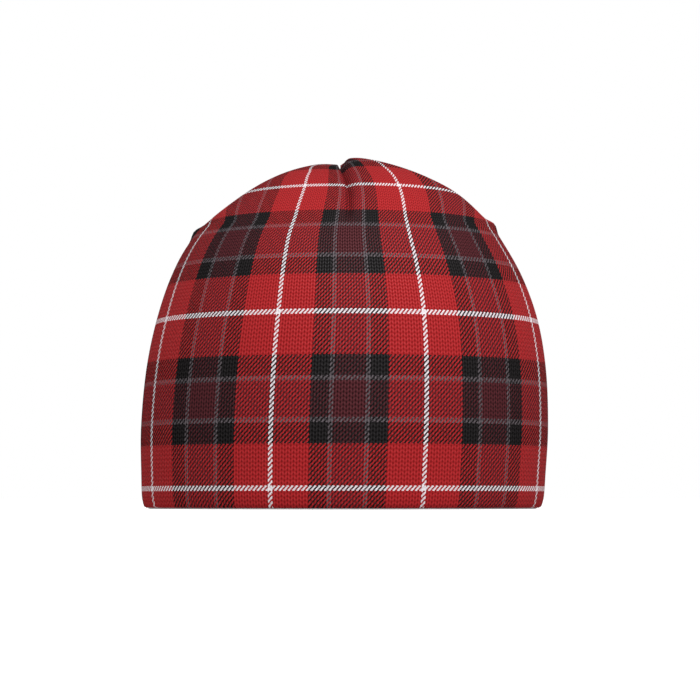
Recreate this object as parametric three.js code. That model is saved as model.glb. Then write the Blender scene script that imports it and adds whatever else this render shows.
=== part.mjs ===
// A close-fitting knit beanie that stands on its rim: a printed outer shell with four crown darts, and a
// white lining inside it whose edge shows just below the shell's.
// Millimetres, +Z up. The front of the hat faces -Y, and the origin is the middle of the rim's plane.
import * as THREE from "three";

// Driving dimensions of the whole hat
const WIDTH = 172;
const DEPTH = 182;
const HEIGHT = 149;

// Cloth
const SHELL_WALL = 1.2;
const LINING_WALL = 1.0;
const WALL_GAP = 0.3;
const SHELL_RIM_LIFT = 0.7;

// Darts: four seams that run down from the crown's middle, and the folds that they make
const DART_LENGTH = 70;
const DART_DEPTH = 2.6;
const DART_DEEPENS_OVER = 26;
const DART_SPREAD = 4.5;
const DIMPLE_DEPTH = 1.6;
const DIMPLE_SPREAD = 12;
const SEAM_FOLD_EDGE = 1.6;
const SEAM_FOLD_SPREAD = 140;
const EAR_WIDTH = 7;
const EAR_LENGTH = 3.5;
const EAR_BELOW_DART = 1.5;

const FRONT = -Math.PI / 2;
const RIGHT = 0;
const BACK = Math.PI / 2;
const LEFT = Math.PI;

// Each dart is somewhat longer or shorter than DART_LENGTH. It has an ear, the pucker where its stitching
// ends, and a fold, the seam allowance that is turned to one side under the cloth and lifts it: 1 is the side
// that comes next going from the front to the right.
const DARTS = [
  { at: FRONT, longer: 0.0, ear: 0.5, fold: 1.8, turned: 1 },
  { at: RIGHT, longer: -3.0, ear: 2.0, fold: 0.4, turned: 1 },
  { at: BACK, longer: 0.0, ear: 0.5, fold: 1.2, turned: -1 },
  { at: LEFT, longer: 1.0, ear: 2.2, fold: 0.4, turned: 1 },
];

// The outline from the front, one row a section: how high it is above the rim, as a share of HEIGHT, how far
// it reaches to each side, as a share of half of WIDTH, and how far the soft hat leans to the right there.
const OUTLINE = [
  { height: 0.0, reach: 0.978, lean: -0.8 },
  { height: 0.03, reach: 0.986, lean: -0.7 },
  { height: 0.094, reach: 0.992, lean: -0.5 },
  { height: 0.228, reach: 1.0, lean: 0.0 },
  { height: 0.403, reach: 0.981, lean: 0.7 },
  { height: 0.537, reach: 0.937, lean: 1.1 },
  { height: 0.651, reach: 0.87, lean: 0.9 },
  { height: 0.738, reach: 0.792, lean: 0.7 },
  { height: 0.805, reach: 0.705, lean: 1.3 },
  { height: 0.872, reach: 0.566, lean: 1.6 },
  { height: 0.923, reach: 0.418, lean: 0.4 },
  { height: 0.956, reach: 0.279, lean: -0.9 },
  { height: 0.976, reach: 0.137, lean: -1.8 },
];
const APEX = { height: 0.983, reach: 0.0, lean: -1.8 };

// How the solids are faceted: rings of facets at the hem, in the body and in the crown, and columns that
// stand closer together at the darts
const HEM_RINGS = [0, 3, 9];
const BODY_RINGS = 7;
const CROWN_STEP = 6;
const COLUMNS_A_QUARTER = 14;
const COLUMN_CROWDING = 0.07;
const RIM_LEVEL = 1;
const NORMAL_STEP = 0.4;
const NORMAL_TURN = 0.01;

// One curve from the right side of the rim, over the apex, to the left side: its middle is the apex, where
// it is level because both halves are alike. Its y holds the lean.
const side = (sign) => ({ height, reach, lean }) =>
  new THREE.Vector3((sign * reach * WIDTH) / 2, lean, height * HEIGHT);
const outline = new THREE.CatmullRomCurve3(
  [
    ...OUTLINE.map(side(1)),
    side(1)(APEX),
    ...OUTLINE.map(side(-1)).reverse(),
  ],
  false,
  "centripetal",
);
outline.arcLengthDivisions = 2000;
const RIM_TO_APEX = outline.getLength() / 2;

// The outline's section at a distance up it from the rim
const section = (up) => outline.getPointAt(Math.min(up / RIM_TO_APEX, 1) / 2);

// From the middle of a section to the smooth form's edge, in a direction round the hat
function spoke(up, angle) {
  const reach = Math.max(section(up).x, 0);
  return new THREE.Vector2(reach * Math.cos(angle), reach * (DEPTH / WIDTH) * Math.sin(angle));
}

// The smooth form at a distance up the outline from the rim, in a direction round the hat
function form(up, angle) {
  const { x, y } = spoke(up, angle);
  const { y: lean, z: height } = section(up);
  return new THREE.Vector3(x + lean, y, height);
}

// The form's outward normal, from two short steps along it
function normalOf(up, angle) {
  const high = Math.min(up + NORMAL_STEP, RIM_TO_APEX - NORMAL_STEP);
  const along = form(high, angle).sub(form(high - NORMAL_STEP, angle));
  const round = form(high, angle + NORMAL_TURN).sub(form(high, angle - NORMAL_TURN));
  return round.cross(along).normalize();
}

// How far the cloth stands out from the smooth form, below zero in the darts' creases.
function relief(up, angle) {
  const radius = spoke(up, angle).length();
  const fromApex = RIM_TO_APEX - up;
  const depth = DART_DEPTH - (DART_DEPTH - DIMPLE_DEPTH) * Math.exp(-fromApex / DIMPLE_SPREAD);
  let crease = 0;
  let raised = 0;
  for (const dart of DARTS) {
    const away = Math.atan2(Math.sin(angle - dart.at), Math.cos(angle - dart.at)) * radius;
    const inDart = DART_LENGTH + dart.longer - fromApex;
    const strength = THREE.MathUtils.smoothstep(inDart, 0, DART_DEEPENS_OVER);
    const onFold = away * dart.turned;
    const folded = 1 / (1 + Math.exp(-onFold / SEAM_FOLD_EDGE));
    const ear = (inDart + EAR_BELOW_DART) / EAR_LENGTH;
    crease = Math.max(crease, strength * Math.exp(-Math.abs(away) / DART_SPREAD));
    raised += dart.fold * strength * folded * Math.exp(-Math.max(onFold, 0) / SEAM_FOLD_SPREAD);
    raised += dart.ear * Math.exp(-((away / EAR_WIDTH) ** 2) - ear ** 2);
  }
  return raised - depth * crease;
}

// Distances up the outline of the rings of facets
function ringStops() {
  const crownFrom = RIM_TO_APEX - DART_LENGTH - 2 * CROWN_STEP;
  const hemTo = HEM_RINGS.at(-1);
  const body = Array.from(
    { length: BODY_RINGS },
    (_, i) => hemTo + ((crownFrom - hemTo) * (i + 1)) / BODY_RINGS,
  );
  const crownRings = Math.floor((RIM_TO_APEX - crownFrom) / CROWN_STEP) - 1;
  const crown = Array.from({ length: crownRings }, (_, i) => crownFrom + CROWN_STEP * (i + 1));
  return [...HEM_RINGS, ...body, ...crown];
}

// Directions of the columns of facets
function columnAngles() {
  const count = 4 * COLUMNS_A_QUARTER;
  return Array.from({ length: count }, (_, i) => {
    const share = i / COLUMNS_A_QUARTER;
    return (share - COLUMN_CROWDING * Math.sin(2 * Math.PI * share)) * (Math.PI / 2);
  });
}

// The shell's outside with its darts, as an open sheet of facets: rings from the rim up, then the apex
function clothSheet() {
  const stops = ringStops();
  const angles = columnAngles();
  const columns = angles.length;
  const topRing = (stops.length - 1) * columns;
  const apex = stops.length * columns;
  const at = (up, angle) =>
    form(up, angle).addScaledVector(normalOf(up, angle), relief(up, angle));
  const points = stops.flatMap((up) => angles.map((angle) => at(up, angle)));
  points.push(form(RIM_TO_APEX, FRONT).setZ(at(RIM_TO_APEX, FRONT).z));
  const faces = [];
  for (let i = 0; i < columns; i++) {
    const j = (i + 1) % columns;
    for (let ring = 0; ring < topRing; ring += columns) {
      const above = ring + columns;
      faces.push([ring + i, ring + j, above + j], [ring + i, above + j, above + i]);
    }
    faces.push([topRing + i, topRing + j, apex]);
  }
  return { points, faces, columns, normals: sheetNormals(points, faces) };
}

// Outward normals of the sheet's points. On the rim they are level, so that the cloth's edge is flat.
function sheetNormals(points, faces) {
  const sheet = new THREE.BufferGeometry().setFromPoints(points);
  sheet.setIndex(faces.flat());
  sheet.computeVertexNormals();
  const normals = points.map((_, i) =>
    new THREE.Vector3().fromBufferAttribute(sheet.attributes.normal, i),
  );
  for (const [i, point] of points.entries()) {
    if (point.z < RIM_LEVEL) normals[i].setZ(0).normalize();
  }
  return normals;
}

// One layer of cloth as a closed cup. Its outer and inner faces lie at two depths under the shell's outside,
// and its lower edge is a flat ring at the given height.
function cup(sheet, outerDepth, innerDepth, edgeHeight) {
  const { points, faces, columns, normals } = sheet;
  const wall = (depth) =>
    points.map((point, i) => {
      const moved = point.clone().addScaledVector(normals[i], -depth);
      return i < columns ? moved.setZ(edgeHeight) : moved;
    });
  const inner = points.length;
  const skins = faces.flatMap(([a, b, c]) => [a, b, c, inner + c, inner + b, inner + a]);
  const edge = [];
  for (let i = 0; i < columns; i++) {
    const j = (i + 1) % columns;
    edge.push(j, i, inner + i, j, inner + i, inner + j);
  }
  const geometry = new THREE.BufferGeometry();
  geometry.setFromPoints([...wall(outerDepth), ...wall(innerDepth)]);
  geometry.setIndex([...skins, ...edge]);
  geometry.computeVertexNormals();
  return geometry;
}

function layer(name, geometry, look) {
  const mesh = new THREE.Mesh(geometry, new THREE.MeshStandardMaterial(look));
  mesh.name = name;
  return mesh;
}

const sheet = clothSheet();
const liningDepth = SHELL_WALL + WALL_GAP;

const beanie = new THREE.Group();
beanie.name = "beanie";
beanie.add(
  layer("outer_shell", cup(sheet, 0, SHELL_WALL, SHELL_RIM_LIFT), {
    color: 0x9c1016,
    roughness: 0.85,
    metalness: 0,
  }),
  layer("lining", cup(sheet, liningDepth, liningDepth + LINING_WALL, 0), {
    color: 0xe9e9ea,
    roughness: 0.9,
    metalness: 0,
  }),
);

export default beanie;
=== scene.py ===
# %% [markdown]
# # A lined knit beanie
# A beanie like this one is two cups of knit cloth, one inside the other and sewn together at the hem.
# Each cup starts as a flat tube that goes round the head. Four darts, long thin wedges sewn shut, close
# its top.
#
# The tube could be sculpted, or pinned and sewn in a cloth simulation. Here it is made the way a tailor
# thinks: a printed blank is rolled into a tube, and a formula then says where each spot of it lies on the
# finished hat. The check follows the cloth that way, and the darts, the hem and the seams stay exact and
# easy to change.

# %% The frame
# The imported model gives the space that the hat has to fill. Everything below is in metres.
import math
from functools import lru_cache

import bmesh
import bpy
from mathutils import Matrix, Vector
from mathutils.geometry import interpolate_bezier


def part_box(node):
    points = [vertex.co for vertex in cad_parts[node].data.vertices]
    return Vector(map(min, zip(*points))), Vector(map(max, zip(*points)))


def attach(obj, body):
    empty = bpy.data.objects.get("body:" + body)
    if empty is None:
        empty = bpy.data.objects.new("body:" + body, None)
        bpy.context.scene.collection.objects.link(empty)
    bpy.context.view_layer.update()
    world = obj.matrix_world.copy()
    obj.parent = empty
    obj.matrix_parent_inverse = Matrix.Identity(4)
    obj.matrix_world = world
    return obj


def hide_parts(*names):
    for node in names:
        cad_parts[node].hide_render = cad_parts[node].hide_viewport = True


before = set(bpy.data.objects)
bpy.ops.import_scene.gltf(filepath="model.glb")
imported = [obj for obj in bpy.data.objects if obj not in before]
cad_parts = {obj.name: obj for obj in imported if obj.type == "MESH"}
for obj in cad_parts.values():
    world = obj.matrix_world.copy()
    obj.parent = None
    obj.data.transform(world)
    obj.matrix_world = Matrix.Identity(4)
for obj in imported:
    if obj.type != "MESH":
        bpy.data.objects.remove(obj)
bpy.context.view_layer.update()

MM = 0.001
shell_low, shell_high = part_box("outer_shell")
print("The shell's space in mm:", [round(size / MM, 1) for size in shell_high - shell_low])

# %% [markdown]
# ## The outline
# Seen from the front, the hat is a tall dome whose sides lean in a little at the hem. A few measured rows
# give its reach and height, and one smooth curve runs through them. A Bezier curve object could hold them
# too, but the cloth needs to know the place at any distance along the curve, so the curve is walked and
# measured here.

# %% The outline's rows
WIDTH = 172 * MM
DEPTH = 182 * MM
HEIGHT = 149 * MM
DEPTH_SHARE = DEPTH / WIDTH

# How high each row is above the rim, as a share of HEIGHT, its reach as a share of half of WIDTH, and how
# far the soft hat leans to the right there, in millimetres
OUTLINE = [
    {"height": 0.0, "reach": 0.978, "lean": -0.8},
    {"height": 0.03, "reach": 0.986, "lean": -0.7},
    {"height": 0.094, "reach": 0.992, "lean": -0.5},
    {"height": 0.228, "reach": 1.0, "lean": 0.0},
    {"height": 0.403, "reach": 0.981, "lean": 0.7},
    {"height": 0.537, "reach": 0.937, "lean": 1.1},
    {"height": 0.651, "reach": 0.87, "lean": 0.9},
    {"height": 0.738, "reach": 0.792, "lean": 0.7},
    {"height": 0.805, "reach": 0.705, "lean": 1.3},
    {"height": 0.872, "reach": 0.566, "lean": 1.6},
    {"height": 0.923, "reach": 0.418, "lean": 0.4},
    {"height": 0.956, "reach": 0.279, "lean": -0.9},
    {"height": 0.976, "reach": 0.137, "lean": -1.8},
]
APEX = {"height": 0.983, "reach": 0.0, "lean": -1.8}
CURVE_STEPS = 60


# %% The outline's curve
def knot(row, side=1):
    """A point of the curve, with its lean kept in the place of y."""
    return Vector((side * row["reach"] * WIDTH / 2, row["lean"] * MM, row["height"] * HEIGHT))


def outline_points():
    """Close points from the rim to the apex, on a smooth curve that allows for the rows' spacing."""
    knots = [knot(row) for row in OUTLINE] + [knot(APEX), knot(OUTLINE[-1], side=-1)]
    knots.insert(0, 2 * knots[0] - knots[1])
    points = [knots[1]]
    for before, start, end, after in zip(knots, knots[1:], knots[2:], knots[3:]):
        first = math.sqrt((start - before).length)
        span = math.sqrt((end - start).length)
        last = math.sqrt((after - end).length)
        chord = (end - start) / span
        leaving = (start - before) / first - (end - before) / (first + span) + chord
        arriving = chord - (after - start) / (span + last) + (after - end) / last
        handles = start + leaving * span / 3, end - arriving * span / 3
        points += interpolate_bezier(start, *handles, end, CURVE_STEPS)[1:]
    return points


outline = outline_points()
travelled = [0.0]
for start, end in zip(outline, outline[1:]):
    travelled.append(travelled[-1] + (end - start).length)
RIM_TO_APEX = travelled[-1]
print("From the rim to the apex in mm:", round(RIM_TO_APEX / MM, 1))


# %% Walking up the outline
@lru_cache(maxsize=None)
def section(up):
    """The curve's place at a distance up it from the rim, and its direction there."""
    low, high = 0, len(travelled) - 1
    while high - low > 1:
        middle = (low + high) // 2
        low, high = (middle, high) if travelled[middle] <= up else (low, middle)
    share = (up - travelled[low]) / (travelled[high] - travelled[low])
    place = outline[low].lerp(outline[high], share)
    along = (outline[high] - outline[low]).normalized()
    return place, along


def form(up, angle):
    """The place, the outward normal and the radius on the smooth dome, a little deeper than it is wide."""
    place, along = section(up)
    across, back = place.x * math.cos(angle), place.x * DEPTH_SHARE * math.sin(angle)
    tilt = DEPTH_SHARE * (along.x + along.y * math.cos(angle))
    normal = Vector((DEPTH_SHARE * along.z * math.cos(angle), along.z * math.sin(angle), -tilt))
    return Vector((across + place.y, back, place.z)), normal.normalized(), math.hypot(across, back)


print("The dome's top:", [round(c / MM, 1) for c in form(RIM_TO_APEX, 0)[0]])

# %% [markdown]
# ## Darts and seams
# Each dart pulls the cloth into a crease that runs down from the crown's middle, and its stitches draw a
# narrow groove along the crease's floor. The seam allowance is turned to one side under the cloth and
# lifts it there, and the cloth puckers into a small ear where the dart begins. One shallow seam at the
# back closes the tube. All of them are low relief on the dome: a function of the distance from the seam
# line, which a displacement texture could also give, but not with so sharp a crease.

# %% The darts' sizes
DART_LENGTH = 70 * MM
DART_DEPTH = 2.6 * MM
DART_DEEPENS_OVER = 26 * MM
DART_SPREAD = 4.5 * MM
DIMPLE_DEPTH = 1.6 * MM
DIMPLE_SPREAD = 12 * MM
SEAM_FOLD_EDGE = 1.6 * MM
SEAM_FOLD_SPREAD = 140 * MM
EAR_WIDTH = 7 * MM
EAR_LENGTH = 3.5 * MM
EAR_BELOW_DART = 1.5 * MM

FRONT = -math.pi / 2
RIGHT = 0.0
BACK = math.pi / 2
LEFT = math.pi

# How much longer than DART_LENGTH each dart is, how high its ear and fold stand, and the side that its
# fold is turned to: 1 is the side that comes next going from the front to the right
DARTS = [
    {"at": FRONT, "longer": 0.0, "ear": 0.5 * MM, "fold": 1.8 * MM, "turned": 1},
    {"at": RIGHT, "longer": -3.0 * MM, "ear": 2.0 * MM, "fold": 0.4 * MM, "turned": 1},
    {"at": BACK, "longer": 0.0, "ear": 0.5 * MM, "fold": 1.2 * MM, "turned": -1},
    {"at": LEFT, "longer": 1.0 * MM, "ear": 2.2 * MM, "fold": 0.4 * MM, "turned": 1},
]

# The groove that the stitches draw: its depth, how wide it is on the plain side and on the fold's side,
# and how far it goes on below a dart's crease
STITCH_GROOVE = 2.6 * MM
STITCH_GROOVE_WIDTH = 0.7 * MM
FOLD_SIDE_WIDTH = 2.2 * MM
STITCHES_BELOW_DART = 8 * MM
STITCHING_DEEPENS_OVER = 14 * MM
STITCH_PUCKER = 0.12 * MM
STITCH_LENGTH = 3.2 * MM
BACK_SEAM_SHARE = 0.3

HEM_CURL = 0.8 * MM
HEM_CURL_OVER = 2.0 * MM


# %% Relief of the darts and the back seam
def wrapped(angle):
    return math.atan2(math.sin(angle), math.cos(angle))


def smoothstep(value, low, high):
    share = min(max((value - low) / (high - low), 0.0), 1.0)
    return share * share * (3 - 2 * share)


def groove(on_fold, up):
    """The channel that a row of stitches draws into the cloth.

    It is a little deeper at each stitch, and wider on the side that the seam allowance lifts.
    """
    depth = STITCH_GROOVE + STITCH_PUCKER * math.cos(2 * math.pi * up / STITCH_LENGTH)
    width = FOLD_SIDE_WIDTH if on_fold > 0 else STITCH_GROOVE_WIDTH
    return depth * math.exp(-((on_fold / width) ** 2))


@lru_cache(maxsize=None)
def relief(up, angle):
    """How far the cloth stands out from the smooth dome, below zero in the creases."""
    radius = form(up, angle)[2]
    from_apex = RIM_TO_APEX - up
    depth = DART_DEPTH - (DART_DEPTH - DIMPLE_DEPTH) * math.exp(-from_apex / DIMPLE_SPREAD)
    crease = 0.0
    raised = 0.0
    for dart in DARTS:
        away = wrapped(angle - dart["at"]) * radius
        in_dart = DART_LENGTH + dart["longer"] - from_apex
        strength = smoothstep(in_dart, 0, DART_DEEPENS_OVER)
        on_fold = away * dart["turned"]
        folded = 1 / (1 + math.exp(-on_fold / SEAM_FOLD_EDGE))
        ear = (in_dart + EAR_BELOW_DART) / EAR_LENGTH
        crease = max(crease, strength * math.exp(-abs(away) / DART_SPREAD))
        raised += dart["fold"] * strength * folded * math.exp(-max(on_fold, 0) / SEAM_FOLD_SPREAD)
        raised += dart["ear"] * math.exp(-((away / EAR_WIDTH) ** 2) - ear**2)
        stitched = smoothstep(in_dart + STITCHES_BELOW_DART, 0, STITCHING_DEEPENS_OVER)
        raised -= groove(on_fold, up) * (BACK_SEAM_SHARE if dart["at"] == BACK else stitched)
    return raised - depth * crease - HEM_CURL * math.exp(-up / HEM_CURL_OVER)


def cloth(up, angle, under=0.0):
    """A spot of cloth on the finished hat, at a depth under the shell's outside."""
    place, normal, _ = form(up, angle)
    return place + normal * (relief(up, angle) - under)


print("The front crease's floor in mm:", [round(c / MM, 1) for c in cloth(RIM_TO_APEX - 20 * MM, FRONT)])

# %% [markdown]
# ## The print
# The knit is stretched more over the sides than over the front, which spreads the threads there, and the
# side darts take cloth out of the crown, which draws the check in towards them. Unwrapping the finished
# hat would lose both. The map's islands part where the cloth does: at the back seam and along the side
# darts.

# %% Threads round and up
THREADS_ROUND = 1024
SIDE_STRETCH = 13
MIDDLE_THREAD = -4
STEEPEST_LIFT = 1.6
SIDE_BEGINS = math.radians(65)
HALVINGS = 30
MAP_ACROSS = 1200
MAP_UP = 512

# Threads from the rim up to a place on the outline: the head stretches the cloth less above its widest
# part, and the crown's darts pull it up
THREADS_UP = [
    {"up": -5 * MM, "threads": -10.1},
    {"up": 80 * MM, "threads": 154.3},
    {"up": 126.8 * MM, "threads": 254.3},
    {"up": 200 * MM, "threads": 382.7},
]

DRAWN_IN = [
    {"height": 118 * MM, "drawn": 1.0, "left": 1.0},
    {"height": 125 * MM, "drawn": 1.045, "left": 0.87},
    {"height": 133 * MM, "drawn": 1.114, "left": 0.74},
    {"height": 140 * MM, "drawn": 1.265, "left": 0.62},
    {"height": 144 * MM, "drawn": 1.59, "left": 0.50},
]


def between_rows(rows, key, at):
    """The other columns of a table at a value of its first one."""
    at = min(max(at, rows[0][key]), rows[-1][key])
    for low, high in zip(rows, rows[1:]):
        if at <= high[key]:
            share = (at - low[key]) / (high[key] - low[key])
            return [low[name] + (high[name] - low[name]) * share for name in low if name != key]


def offset_of(turn):
    """How far to the side a turn is, as a sine that goes straight on from where the side begins."""
    beyond = max(turn - SIDE_BEGINS, 0.0)
    return math.sin(turn - beyond) + math.cos(SIDE_BEGINS) * beyond


def turn_of(offset):
    """The turn that has an offset: the way back."""
    beyond = max(offset - math.sin(SIDE_BEGINS), 0.0)
    return math.asin(offset - beyond) + beyond / math.cos(SIDE_BEGINS)


@lru_cache(maxsize=None)
def turn_before_darts(turn, height):
    """Where a spot in a quarter of the crown was on the blank before the side dart drew it in."""
    drawn, left = between_rows(DRAWN_IN, "height", height)
    target = offset_of(turn)
    low, high = 0.0, offset_of(math.pi / 2)
    for _ in range(HALVINGS):
        middle = (low + high) / 2
        reached = drawn * middle + (1 - drawn * left) * (middle / left) ** 3
        low, high = (middle, high) if reached < target else (low, middle)
    return turn_of(low)


def thread_round(turn, height, behind):
    """The thread at a turn from the front, positive to the right, on the front or the back half."""
    side = math.copysign(1, turn)
    quarter = math.pi - abs(turn) if behind else abs(turn)
    start = turn_before_darts(round(min(max(quarter, 0.0), math.pi / 2), 6), height)
    count = THREADS_ROUND / (2 * math.pi) * start + SIDE_STRETCH * math.sin(2 * start)
    if behind:
        count = THREADS_ROUND / 2 - count
    return side * count + MIDDLE_THREAD


def thread_up(up, angle):
    """The thread at a spot of the cloth.

    A fold lifts its cloth and a crease lets it down. The tailor matched the print, so its lines stay level.
    """
    normal = form(up, angle)[1]
    slope = min(normal.z / math.hypot(normal.x, normal.y), STEEPEST_LIFT)
    [threads] = between_rows(THREADS_UP, "up", up + relief(up, angle) * slope)
    return threads


print("Threads from the middle to the right side:", round(thread_round(math.pi / 2, 0, False)))

# %% [markdown]
# ## Blank, dressing, wall
# A wire of points up the cloth is spun into a tube. Each spot is then moved to its place on the hat, the
# top row closes at the apex, and the sheet gets its thickness with bmesh's solidify. The hem's two edges
# are rounded with a bevel. A Solidify modifier would do as well, but the hem is easier to find on real
# faces.

# %% The blank
COLUMNS = 272
COLUMN_CROWDING = 0.12
ROW_STEP = 1.62 * MM
HEM_ROUNDING = 0.42
HEM_SEGMENTS = 3
HEM_BELOW = 3 * MM
FACES_DOWN = -0.8
AT_APEX = 0.01 * MM


def crowded(angle):
    """Columns of faces stand closer together at the darts."""
    share = angle / (math.pi / 2)
    return (share - COLUMN_CROWDING * math.sin(2 * math.pi * share)) * (math.pi / 2)


def blank(first_up, columns, row_step):
    """A tube of cloth: its height is the distance up the outline, and its turn is the direction."""
    bm = bmesh.new()
    rows = round((RIM_TO_APEX - first_up) / row_step)
    step = Vector((0, 0, (RIM_TO_APEX - first_up) / rows))
    top = bm.verts.new((WIDTH / 2, 0, first_up))
    for _ in range(rows):
        top = bmesh.ops.extrude_vert_indiv(bm, verts=[top])["verts"][0]
        bmesh.ops.translate(bm, verts=[top], vec=step)
    bmesh.ops.spin(
        bm,
        geom=bm.verts[:] + bm.edges[:],
        cent=(0, 0, 0),
        axis=(0, 0, 1),
        angle=2 * math.pi,
        steps=columns,
        use_merge=True,
        use_duplicate=False,
    )
    return bm


# %% Print, dress and line
def print_map(bm):
    """The print's map, read off the blank's own places one corner of a face at a time.

    Places are rounded, so that the cached functions know them again.
    """
    layer = bm.loops.layers.uv.new("print")
    for face in bm.faces:
        middle = face.calc_center_median()
        face_turn = wrapped(crowded(math.atan2(middle.y, middle.x)) - FRONT)
        behind = abs(face_turn) > math.pi / 2
        for loop in face.loops:
            spot = loop.vert.co
            angle = round(crowded(math.atan2(spot.y, spot.x)), 6)
            turn = face_turn + wrapped(angle - FRONT - face_turn)
            up = round(min(spot.z, RIM_TO_APEX), 8)
            across = thread_round(turn, round(section(up)[0].z, 5), behind)
            loop[layer].uv = 0.5 + across / MAP_ACROSS, thread_up(up, angle) / MAP_UP


def dress(bm, under):
    """Moves the blank's spots to their places on the hat and closes the top row at the apex."""
    top = []
    for spot in bm.verts:
        up = min(spot.co.z, RIM_TO_APEX)
        angle = crowded(math.atan2(spot.co.y, spot.co.x))
        if RIM_TO_APEX - up < AT_APEX:
            top.append(spot)
        spot.co = cloth(round(up, 8), angle, under)
    middle = sum((spot.co for spot in top), Vector()) / len(top)
    bmesh.ops.pointmerge(bm, verts=top, merge_co=middle)
    bmesh.ops.recalc_face_normals(bm, faces=bm.faces[:])


def thicken(bm, wall, edge_height):
    """Gives the sheet its wall on the inside, then flattens and rounds the hem."""
    bmesh.ops.solidify(bm, geom=bm.faces[:], thickness=wall)
    facing_down = [face for face in bm.faces if face.normal.z < FACES_DOWN]
    hem = {face for face in facing_down if face.calc_center_median().z < HEM_BELOW}
    for spot in {spot for face in hem for spot in face.verts}:
        spot.co.z = edge_height
    edges = [edge for edge in bm.edges if len(hem.intersection(edge.link_faces)) == 1]
    bmesh.ops.bevel(
        bm,
        geom=edges,
        offset=HEM_ROUNDING * wall,
        segments=HEM_SEGMENTS,
        profile=0.5,
        affect="EDGES",
        material=-1,
    )


def finished(bm, name):
    for face in bm.faces:
        face.smooth = True
    mesh = bpy.data.meshes.new(name)
    bm.to_mesh(mesh)
    bm.free()
    piece = bpy.data.objects.new(name, mesh)
    bpy.context.collection.objects.link(piece)
    mesh.calc_loop_triangles()
    print(name, "has", len(mesh.loop_triangles), "triangles")
    return piece


def cup(name, under, wall, first_up, columns, row_step):
    """One layer of the hat, and the area of its cloth."""
    bm = blank(first_up, columns, row_step)
    print_map(bm)
    dress(bm, under)
    area = sum(face.calc_area() for face in bm.faces)
    thicken(bm, wall, first_up)
    return finished(bm, name), area


# %% [markdown]
# ## The two layers
# The shell is the printed cloth. The lining is the same cut in white, a little smaller, and its edge
# comes just below the shell's, which is the thin pale line under the hem.

# %% Shell and lining
SHELL_WALL = 1.2 * MM
LINING_WALL = 1.0 * MM
WALL_GAP = 0.3 * MM
SHELL_RIM_LIFT = 0.7 * MM
LINING_COLUMNS = 200
LINING_ROW_STEP = 2.4 * MM

shell, shell_area = cup("printed_shell", 0.0, SHELL_WALL, SHELL_RIM_LIFT, COLUMNS, ROW_STEP)
lining, lining_area = cup(
    "knit_lining", SHELL_WALL + WALL_GAP, LINING_WALL, 0.0, LINING_COLUMNS, LINING_ROW_STEP
)
print("Cloth in square metres:", round(shell_area, 4), round(lining_area, 4))

# %% [markdown]
# ## Shader helper
# Nodes are easier to read as sums. This class wraps a socket, so that an expression on it adds Math
# nodes, and one method adds any other node.


# %% A socket with arithmetic
class Wire:
    """A node's output in one node tree, with the operators that the patterns below use."""

    def __init__(self, tree, socket=None):
        self.tree = tree
        self.socket = socket

    def node(self, kind, settings=None, inputs=None, output=0):
        """Adds a node. Its settings come first, then the values or wires of its sockets."""
        made = self.tree.nodes.new("ShaderNode" + kind)
        for name, value in (settings or {}).items():
            if name == "stops":
                set_stops(made.color_ramp, value)
            else:
                setattr(made, name, value)
        for name, value in (inputs or {}).items():
            if isinstance(value, Wire):
                value.into(made.inputs[name])
            else:
                made.inputs[name].default_value = value
        return Wire(self.tree, made.outputs[output])

    def into(self, socket):
        self.tree.links.new(self.socket, socket)

    def math(self, operation, *values):
        return self.node("Math", {"operation": operation}, dict(enumerate(values)))

    def mix(self, color, other):
        """One colour where this factor is 0, the other where it is 1."""
        settings = {"data_type": "RGBA", "blend_type": "MIX"}
        return self.node("Mix", settings, {"Factor": self, 6: color, 7: other}, output=2)

    def __add__(self, other):
        return self.math("ADD", self, other)

    def __sub__(self, other):
        return self.math("SUBTRACT", self, other)

    def __rsub__(self, other):
        return self.math("SUBTRACT", other, self)

    def __mul__(self, other):
        return self.math("MULTIPLY", self, other)

    def __truediv__(self, other):
        return self.math("DIVIDE", self, other)

    def __pow__(self, other):
        return self.math("POWER", self, other)

    def __mod__(self, other):
        return self.math("FLOORED_MODULO", self, other)

    def __lt__(self, other):
        return self.math("LESS_THAN", self, other)

    def __abs__(self):
        return self.math("ABSOLUTE", self)

    def __floor__(self):
        return self.math("FLOOR", self)

    __radd__ = __add__
    __rmul__ = __mul__


def set_stops(ramp, stops):
    """Flat bands of colour, each from its own position on."""
    ramp.interpolation = "CONSTANT"
    while len(ramp.elements) < len(stops):
        ramp.elements.new(1.0)
    for element, (position, color) in zip(ramp.elements, stops):
        element.position = position
        element.color = (*color, 1.0)


def new_material(name):
    material = bpy.data.materials.new(name)
    material.use_nodes = True
    return material, material.node_tree.nodes["Principled BSDF"]


# %% [markdown]
# ## The knit
# Both cloths are a fine knit. Its stitches sit in columns, called wales, and each stitch is a small V of
# two legs. Gaps show between the legs: those in a wale's middle and those at its edges are half a stitch
# apart. The V is worked out from the print's map, so that it follows the cloth into the darts. At 1.2 mm
# a leg it is too fine for real faces, so it feeds the colour, the roughness and the bump.

# %% Thread counts and stitches
THREAD_ROUND = 0.455 * MM
THREAD_UP = 0.517 * MM
WALE = 2.39 * MM
COURSE = 1.71 * MM
GAP_RISE = 0.55
LEG_NOTCH = 0.2


def threads(tree):
    """Counts of threads across and up, from the print's map."""
    place = Wire(tree).node("UVMap", {"uv_map": "print"})
    across = place.node("SeparateXYZ", {}, {0: place}, output=0)
    high = place.node("SeparateXYZ", {}, {0: place}, output=1)
    return (across - 0.5) * MAP_ACROSS, high * MAP_UP


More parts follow.
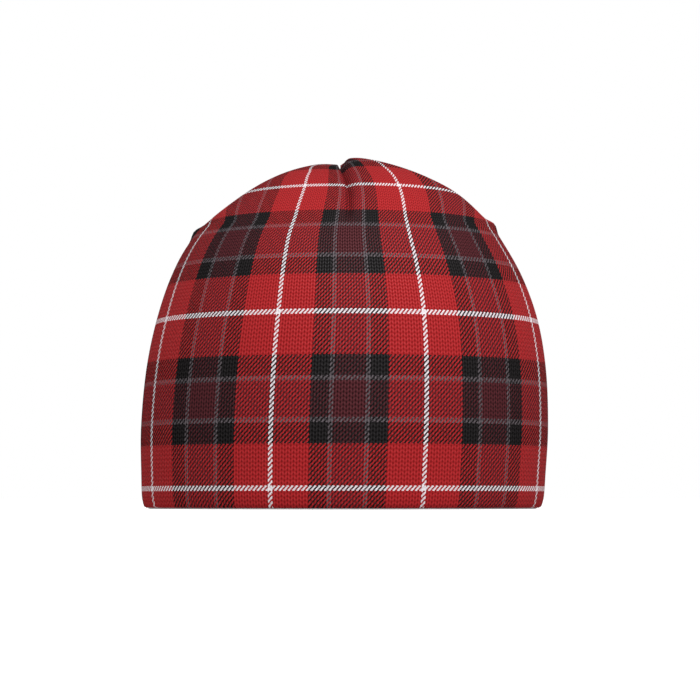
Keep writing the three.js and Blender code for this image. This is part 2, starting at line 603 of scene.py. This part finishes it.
def stitches(across, high, wale, course):
    """Height of the knit, 1 on a stitch's legs and 0 in the gaps between them."""
    from_middle = abs((across * (THREAD_ROUND / wale)) % 1.0 - 0.5)
    leg = 1 - abs(from_middle * 4 - 1)
    climbing = (high * (THREAD_UP / course) - from_middle) * (2 * math.pi)
    rise = climbing.math("COSINE", climbing) * 0.5 + 0.5
    gap = rise * GAP_RISE
    crest = 1 - (1 - rise) * LEG_NOTCH
    return gap + (crest - gap) * leg


print("Stitches in a hand's width of 100 mm:", round(0.1 / WALE), "across and", round(0.1 / COURSE), "up")

# %% [markdown]
# ## The check
# The print imitates a woven twill. Every thread, across or up, takes its colour from the same list of
# bands, and where two threads cross, the one on top shows: two over, two under, one step on in each row.
# That gives the fine diagonal hatching where two bands of unlike colour cross.

# %% Bands of the check
RED = (0.585, 0.004, 0.009)
BLACK = (0.009, 0.006, 0.007)
MAROON = (0.12, 0.004, 0.012)
GREY = (0.16, 0.13, 0.145)
WHITE = (0.95, 0.91, 0.93)

BANDS = [
    {"threads": 4, "color": WHITE},
    {"threads": 32, "color": RED},
    {"threads": 16, "color": BLACK},
    {"threads": 4, "color": GREY},
    {"threads": 28, "color": MAROON},
    {"threads": 4, "color": GREY},
    {"threads": 16, "color": BLACK},
    {"threads": 32, "color": RED},
]
REPEAT = sum(band["threads"] for band in BANDS)
FIRST_BAND_ROUND = 70
FIRST_BAND_UP = -14
TWILL = 4


def band_stops():
    stops = []
    reached = 0
    for band in BANDS:
        stops.append((reached / REPEAT, band["color"]))
        reached += band["threads"]
    return stops


def band_color(count, offset):
    """The colour of a whole thread, from its place in the repeat."""
    place = ((count + (offset + 0.5)) % float(REPEAT)) / float(REPEAT)
    return place.node("ValToRGB", {"stops": band_stops()}, {"Fac": place})


def check(across, high):
    """The colour of whichever thread lies on top."""
    warp = math.floor(across)
    weft = math.floor(high)
    on_top = ((warp - weft) % float(TWILL)) < TWILL / 2
    return on_top.mix(band_color(weft, FIRST_BAND_UP), band_color(warp, FIRST_BAND_ROUND))


print("The check repeats every", REPEAT, "threads, or", round(REPEAT * THREAD_ROUND / MM), "mm")


# %% [markdown]
# ## Finishes
# The gaps between stitches get painted shade. Light that falls into a gap meets coloured yarn several
# times before it comes out, so a gap is painted in the yarn's colour raised to a power: red turns a deeper
# red there and white stays pale. The stitches' crests get a painted highlight, a little pale colour mixed
# in, and are smoother, so that the light's soft shine sits on them. The lining is the same knit in white,
# without a print.

# %% Printed knit and lining knit
# The pale colour of the painted highlight on the stitches' crests, and how sharply that highlight and the
# smoothness gather on them
HIGHLIGHT_COLOR = (0.85, 0.8, 0.82, 1.0)
HIGHLIGHT_POWER = 4
POLISH_POWER = 3


def knit_finish(surface, color, height, finish):
    """Feeds a knit's colour, with painted shade in the gaps and a painted highlight on the crests, its
    roughness and its bump to its surface.
    """
    # Painted shade: towards the gaps between stitches the colour turns to the yarn's colour raised to a
    # power
    painted_gap_shade = height.node("Gamma", {}, {"Color": color, "Gamma": finish["gap_shade_power"]})
    shaded_and_highlighted_color = (1 - height).mix(color, painted_gap_shade)
    # Painted highlight: a pale colour is mixed into the stitches' crests
    if finish["crest_highlight"]:
        shaded_and_highlighted_color = (height**HIGHLIGHT_POWER * finish["crest_highlight"]).mix(shaded_and_highlighted_color, HIGHLIGHT_COLOR)
    shaded_and_highlighted_color.into(surface.inputs["Base Color"])
    polish = height**POLISH_POWER * finish["crest_polish"]
    (finish["gap_roughness"] - polish).into(surface.inputs["Roughness"])
    bump_inputs = {"Strength": finish["bump"], "Distance": finish["stitch_height"], "Height": height}
    height.node("Bump", {}, bump_inputs).into(surface.inputs["Normal"])
    surface.inputs["Specular IOR Level"].default_value = finish["specular"]


# In both finishes the first entry is the power of the painted shade in the gaps and the second the share of
# the painted highlight on the crests
SHELL_FINISH = {
    "gap_shade_power": 3.2,
    "crest_highlight": 0.025,
    "gap_roughness": 0.95,
    "crest_polish": 0.55,
    "bump": 0.8,
    "stitch_height": 0.3 * MM,
    "specular": 0.4,
}
LINING_FINISH = {
    "gap_shade_power": 2.2,
    "crest_highlight": 0.0,
    "gap_roughness": 0.95,
    "crest_polish": 0.2,
    "bump": 0.5,
    "stitch_height": 0.3 * MM,
    "specular": 0.3,
}
LINING_COLOR = (0.82, 0.82, 0.83, 1.0)
LINING_WALE = 2.0 * MM
LINING_COURSE = 1.5 * MM

printed_knit, printed_surface = new_material("printed knit")
across, high = threads(printed_knit.node_tree)
shell_knit = stitches(across, high, WALE, COURSE)
knit_finish(printed_surface, check(across, high), shell_knit, SHELL_FINISH)
shell.data.materials.append(printed_knit)

lining_knit, lining_surface = new_material("white knit")
across, high = threads(lining_knit.node_tree)
lining_height = stitches(across, high, LINING_WALE, LINING_COURSE)
knit_finish(lining_surface, LINING_COLOR, lining_height, LINING_FINISH)
lining.data.materials.append(lining_knit)
for material in (printed_knit, lining_knit):
    print(material.name, "has", len(material.node_tree.nodes), "nodes")

# %% [markdown]
# ## Where each piece goes
# Both layers keep their places on the hat's one body, and the imported model's parts that they replace
# are hidden.

# %% Places and cloth facts
LAYERS = [
    {"piece": shell, "node": "outer_shell", "slot": "printed_knit", "area": shell_area},
    {"piece": lining, "node": "lining", "slot": "lining_knit", "area": lining_area},
]
for layer in LAYERS:
    piece = layer["piece"]
    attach(piece, "root")
    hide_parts(layer["node"])

# %% [markdown]
# ## Floor, light and camera
# The hat stands on its rim on a white table that glows a little, as in a product picture. The table
# throws no light back on the cloth, which would bleach its reds, and it can be looked through from below.
# The room is white round the horizon and grey overhead, and a soft light from the upper right of the
# front shapes the crown. The camera looks from just above the floor, because the picture was taken from
# slightly below the hat.

# %% Floor and room
FLOOR_REACH = 60.0
FLOOR_WHITE = (1.0, 1.0, 1.0, 1.0)
FLOOR_GLOW = 0.5
FLOOR_ROUGHNESS = 0.9

# The room's bands of grey, each from a height of the direction on: 0 is straight down and 1 straight up
ROOM = [
    (0.0, (0.4, 0.4, 0.4)),
    (0.49, (1.0, 1.0, 1.0)),
    (0.68, (0.6, 0.6, 0.6)),
]

bm = bmesh.new()
bmesh.ops.create_grid(bm, x_segments=1, y_segments=1, size=FLOOR_REACH)
floor = finished(bm, "floor")
floor_paint, floor_surface = new_material("white floor")
floor_surface.inputs["Base Color"].default_value = FLOOR_WHITE
floor_surface.inputs["Roughness"].default_value = FLOOR_ROUGHNESS
floor_surface.inputs["Specular IOR Level"].default_value = 0.0
floor_surface.inputs["Emission Color"].default_value = FLOOR_WHITE
floor_surface.inputs["Emission Strength"].default_value = FLOOR_GLOW
floor.data.materials.append(floor_paint)
floor.visible_diffuse = False
floor.visible_glossy = False
floor.visible_shadow = False

painted = Wire(floor_paint.node_tree, floor_surface.outputs["BSDF"])
from_below = painted.node("NewGeometry", output="Backfacing")
see_through = painted.node("BsdfTransparent")
look = painted.node("MixShader", {}, {0: from_below, 1: painted, 2: see_through})
look.into(floor_paint.node_tree.nodes["Material Output"].inputs["Surface"])

world = bpy.data.worlds.new("white room")
world.use_nodes = True
direction = Wire(world.node_tree).node("TexCoord", output=0)
up = direction.node("SeparateXYZ", {}, {0: direction}, output=2)
shade = up.node("ValToRGB", {"stops": ROOM}, {"Fac": up * 0.5 + 0.5})
shade.into(world.node_tree.nodes["Background"].inputs["Color"])
world.cycles_visibility.glossy = False
bpy.context.scene.world = world
bpy.context.scene.view_settings.view_transform = "Standard"

# %% Key light
KEY_AT = Vector((0.3, -0.85, 1.05))
KEY_SIZE = 0.35
KEY_POWER = 9.4
AIM = Vector((0, 0, HEIGHT / 2))

light = bpy.data.lights.new("key", "AREA")
light.size = KEY_SIZE
light.energy = KEY_POWER
stand = bpy.data.objects.new("key", light)
stand.location = KEY_AT
stand.rotation_euler = (AIM - KEY_AT).to_track_quat("-Z", "Y").to_euler()
bpy.context.collection.objects.link(stand)
print("The light stands", round((AIM - KEY_AT).length, 2), "m from the hat")

# %% Camera
CAMERA_AT = Vector((2.3 * MM, -1.2, 4 * MM))
CAMERA_PITCH = 3.02
CAMERA_FIELD = 296.6 * MM
SENSOR = 36.0

lens = bpy.data.cameras.new("camera")
lens.sensor_width = SENSOR
lens.clip_start = 10 * MM
lens.lens = SENSOR * -CAMERA_AT.y / CAMERA_FIELD
camera = bpy.data.objects.new("camera", lens)
camera.location = CAMERA_AT
camera.rotation_euler = (math.radians(90 + CAMERA_PITCH), 0, 0)
bpy.context.collection.objects.link(camera)
bpy.context.scene.camera = camera
print("Focal length:", round(lens.lens, 1), "mm")
